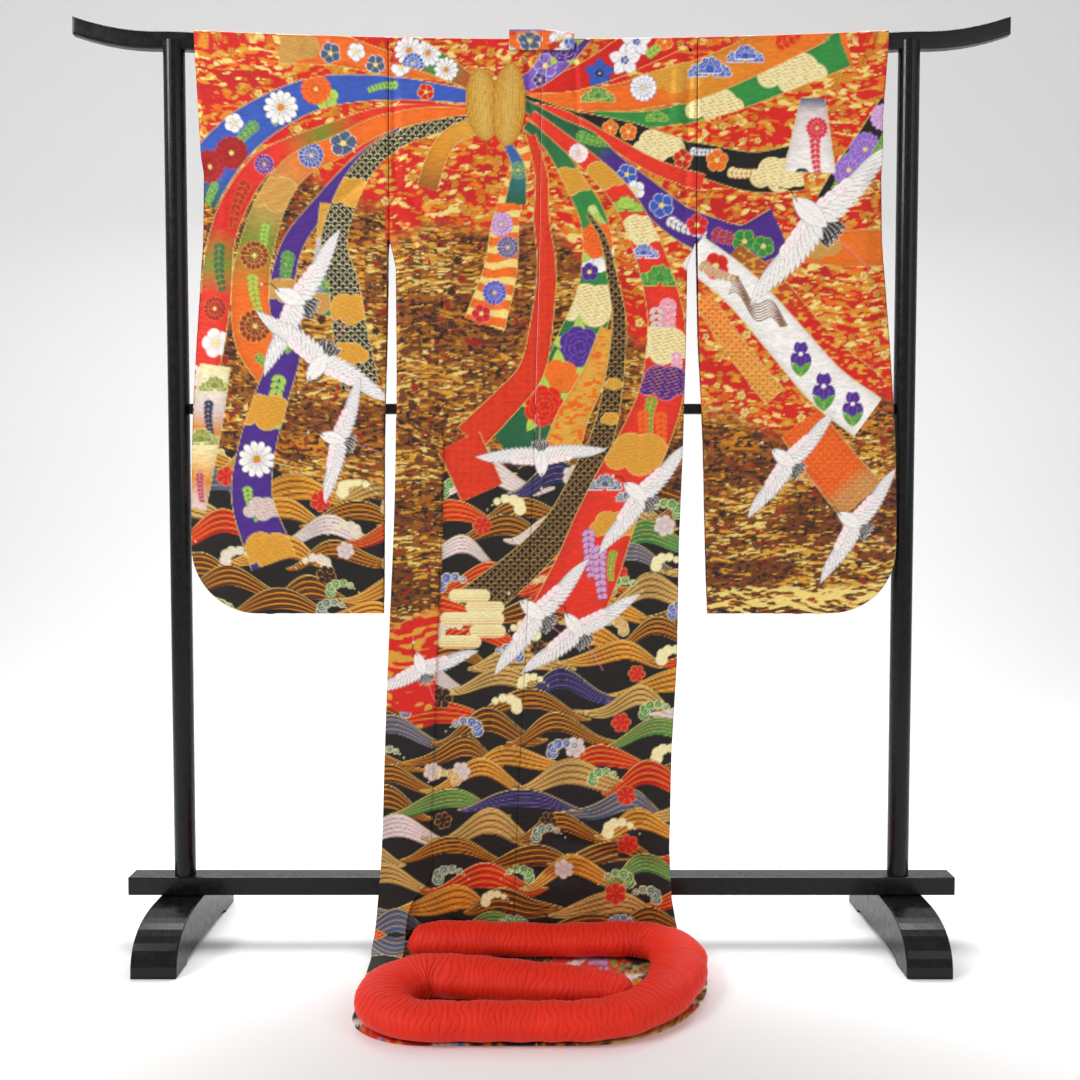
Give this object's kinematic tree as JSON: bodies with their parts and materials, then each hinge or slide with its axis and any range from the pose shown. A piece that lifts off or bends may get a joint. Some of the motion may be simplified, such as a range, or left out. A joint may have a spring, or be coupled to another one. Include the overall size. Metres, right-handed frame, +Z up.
{
  "type": "uchikake wedding kimono on its kimono stand",
  "caption": "Uchikake wedding kimono with long sleeves and a padded hem, hung back outwards over the bar of a free-standing lacquered wooden kimono stand.",
  "frame": {"origin": "on the floor, at the middle of the whole part's box", "axes": "+Z up; -Y out of the kimono's back, towards someone who looks at it; +X to that person's right"},
  "size_m": [1.8, 0.671, 1.798],
  "materials": {
    "black_lacquer": "glossy black urushi lacquer on wood",
    "gold_brocade": "figured silk brocade with gold thread, red and gold above, black and gold waves below",
    "vermilion_silk": "plain vermilion silk with a soft sheen, padded and puckered"
  },
  "bodies": {
    "root": {"top_bar": "black_lacquer", "middle_rail": "black_lacquer", "lower_rail": "black_lacquer", "post_left": "black_lacquer", "post_right": "black_lacquer", "foot_left": "black_lacquer", "foot_right": "black_lacquer", "back_left": "gold_brocade", "back_right": "gold_brocade", "front_left": "gold_brocade", "front_right": "gold_brocade", "okumi_left": "gold_brocade", "okumi_right": "gold_brocade", "side_fold_left": "gold_brocade", "sleeve_left_back": "gold_brocade", "sleeve_left_front": "gold_brocade", "sleeve_right_back": "gold_brocade", "sleeve_right_front": "gold_brocade", "collar_left": "gold_brocade", "collar_right": "gold_brocade", "hem_spread_left": "gold_brocade", "hem_spread_right": "gold_brocade", "hem_roll": "vermilion_silk"}
  },
  "joints": []
}
